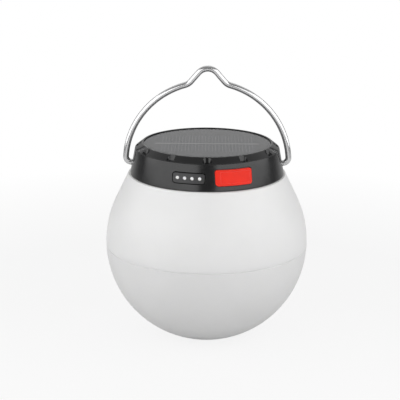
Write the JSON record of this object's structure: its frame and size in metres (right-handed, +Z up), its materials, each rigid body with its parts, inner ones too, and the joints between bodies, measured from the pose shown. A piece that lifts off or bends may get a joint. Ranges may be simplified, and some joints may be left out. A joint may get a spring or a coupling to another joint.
{
  "type": "solar camping lantern",
  "caption": "Frosted globe lantern with a solar panel in its dark round head, a wire carrying bail, a push button with charge lights and a rubber cover over the charging socket.",
  "frame": {"origin": "centre of the flat foot of the globe, on the surface that the lantern stands on", "axes": "+Z up through the globe and the solar panel; -Y out of the front, where the button and the charging socket are; +X to the right seen from the front"},
  "size_m": [0.12, 0.12, 0.162],
  "materials": {
    "globe_frosted": "frosted translucent white",
    "housing_dark": "satin dark grey",
    "bezel_black": "glossy black",
    "panel_face": "clear resin face",
    "cell_grey": "dark grey silicon",
    "ribbon_tin": "tinned ribbon",
    "backing_grey": "dark laminate",
    "tape_foam": "black foam tape",
    "base_white": "white moulded plastic",
    "screw_steel": "zinc plated",
    "lamp_board_white": "white solder mask on aluminium",
    "led_yellow": "phosphor over a white case",
    "board_green": "green solder mask",
    "chip_black": "moulded epoxy",
    "coil_grey": "ferrite",
    "capacitor_tan": "ceramic",
    "battery_silver": "foil pouch",
    "pad_white": "foam pad",
    "lead_red_black": "insulated wire",
    "button_dark": "satin dark grey",
    "light_white": "diffusing clear plastic",
    "switch_black": "moulded",
    "cover_red": "satin silicone rubber",
    "socket_steel": "plated shell",
    "wire_steel": "polished stainless wire",
    "seal_black": "black rubber"
  },
  "bodies": {
    "lantern": {"globe_lower": "globe_frosted", "globe_upper": "globe_frosted", "neck_seal": "seal_black", "head_housing": "housing_dark", "solar_bezel": "bezel_black", "panel_tape": "tape_foam", "solar_backing": "backing_grey", "solar_cells": "cell_grey", "cell_ribbon": "ribbon_tin", "solar_face": "panel_face", "head_base": "base_white", "base_screws": "screw_steel", "lamp_board": "lamp_board_white", "lamp_board_screws": "screw_steel", "lamp_leds": "led_yellow", "main_board": "board_green", "board_screws": "screw_steel", "charge_chip": "chip_black", "boost_coil": "coil_grey", "board_capacitors": "capacitor_tan", "battery_pad": "pad_white", "battery_cell": "battery_silver", "solar_leads": "lead_red_black", "lamp_leads": "lead_red_black", "battery_leads": "lead_red_black", "gauge_leds": "led_yellow", "tact_switch": "switch_black", "usb_socket": "socket_steel", "usb_tongue": "chip_black", "cover_anchor": "cover_red"},
    "bail": {"bail_wire": "wire_steel"},
    "button": {"button_cap": "button_dark", "gauge_lights": "light_white", "switch_plunger": "switch_black"},
    "cover": {"port_cover": "cover_red"}
  },
  "joints": [
    {"name": "bail_swing", "type": "hinge", "parent": "lantern", "child": "bail", "pos_m": [0, 0, 0.10428], "axis": [1, 0, 0], "range_deg": [-95, 95]},
    {"name": "button_press", "type": "slide", "parent": "lantern", "child": "button", "axis": [0.2368, 0.9715, 0], "range_m": [0, 0.0008], "stiffness_N_per_m": 2000},
    {"name": "cover_open", "type": "hinge", "parent": "lantern", "child": "cover", "pos_m": [0.01536, -0.04164, 0.10903], "axis": [-0.9383, -0.346, 0], "range_deg": [0, 110], "stiffness_Nm_per_rad": 0.002}
  ]
}
